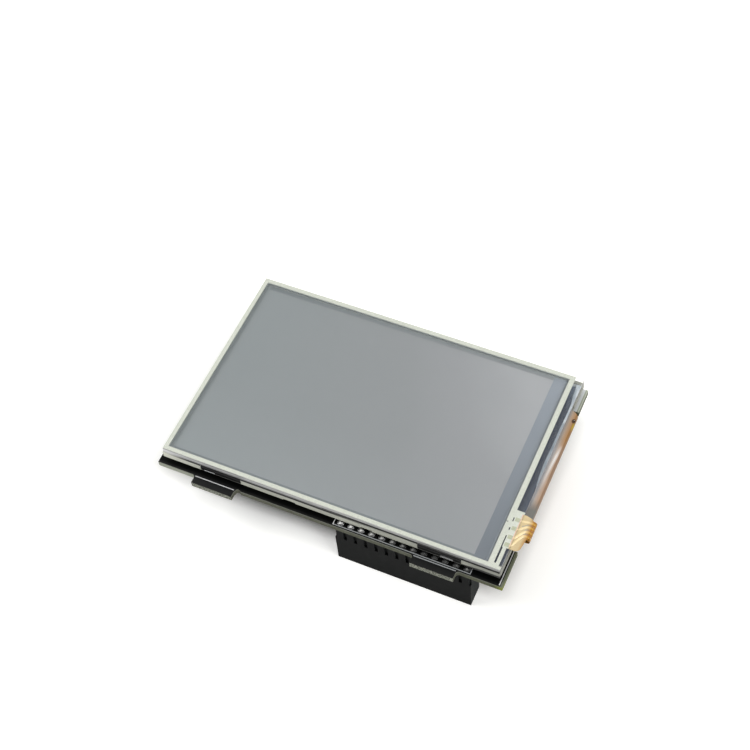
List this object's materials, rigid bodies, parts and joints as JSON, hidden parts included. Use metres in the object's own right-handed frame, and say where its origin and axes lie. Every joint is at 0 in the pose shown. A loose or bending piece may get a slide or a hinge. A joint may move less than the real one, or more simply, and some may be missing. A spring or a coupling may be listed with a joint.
{
  "type": "tft display module",
  "caption": "Colour TFT screen with a resistive touch panel on a driver board that plugs on to a two-row pin header by a tall socket.",
  "frame": {"origin": "centre of the socket's mating face, midway between its two rows and its first and last columns", "axes": "+Z out of the screen's face, +X towards the end where the flexes fold over, +Y from the socket's edge towards the opposite long edge"},
  "size_m": [0.0877, 0.0576, 0.0198],
  "materials": {
    "solder_mask": "black solder mask over woven laminate",
    "socket_plastic": "moulded black plastic",
    "contact_metal": "gold-flashed spring bronze",
    "solder": "bright solder",
    "foam": "black foam tape",
    "frame_plastic": "cream moulded plastic",
    "white_sheet": "white reflector film",
    "clear_plastic": "clear moulded plastic",
    "optical_sheet": "frosted optical film",
    "led": "white package with yellow phosphor",
    "copper_flex": "amber polyimide over copper",
    "black_tape": "matt black tape",
    "polariser": "grey polarising film",
    "screen": "unlit grey screen",
    "cell_glass": "dark blue-grey glass",
    "silicon": "polished bare silicon",
    "ledge_tape": "dark blue-grey tape",
    "touch_glass": "clear glass with grey ground edges",
    "touch_film": "clear hard-coated film",
    "border_ink": "cream printed insulator",
    "tail_flex": "gold polyimide with traces",
    "chip_plastic": "moulded black epoxy",
    "lead_metal": "tinned leads",
    "resistor_body": "black glaze with tinned ends",
    "capacitor_body": "tan ceramic with tinned ends"
  },
  "bodies": {
    "root": {"circuit_board": "solder_mask", "socket_housing": "socket_plastic", "socket_contacts_near": "contact_metal", "socket_contacts_far": "contact_metal", "solder_joints_near": "solder", "solder_joints_far": "solder", "foam_tape": "foam", "backlight_frame": "frame_plastic", "reflector_sheet": "white_sheet", "light_guide": "clear_plastic", "diffuser_sheet": "optical_sheet", "prism_sheet_lower": "optical_sheet", "prism_sheet_upper": "optical_sheet", "backlight_leds": "led", "led_strip": "copper_flex", "light_shield_tape": "black_tape", "lower_polariser": "polariser", "tft_glass": "cell_glass", "colour_filter_glass": "cell_glass", "upper_polariser": "screen", "driver_chip": "silicon", "ledge_tape": "ledge_tape", "touch_adhesive": "black_tape", "touch_glass": "touch_glass", "touch_border": "border_ink", "touch_film": "touch_film", "touch_tail": "tail_flex", "panel_flex": "copper_flex", "touch_controller": "chip_plastic", "shift_registers": "chip_plastic", "counter_chip": "chip_plastic", "inverter_chip": "chip_plastic", "chip_leads": "lead_metal", "regulator": "chip_plastic", "regulator_leads": "lead_metal", "resistors": "resistor_body", "capacitors": "capacitor_body"}
  },
  "joints": []
}
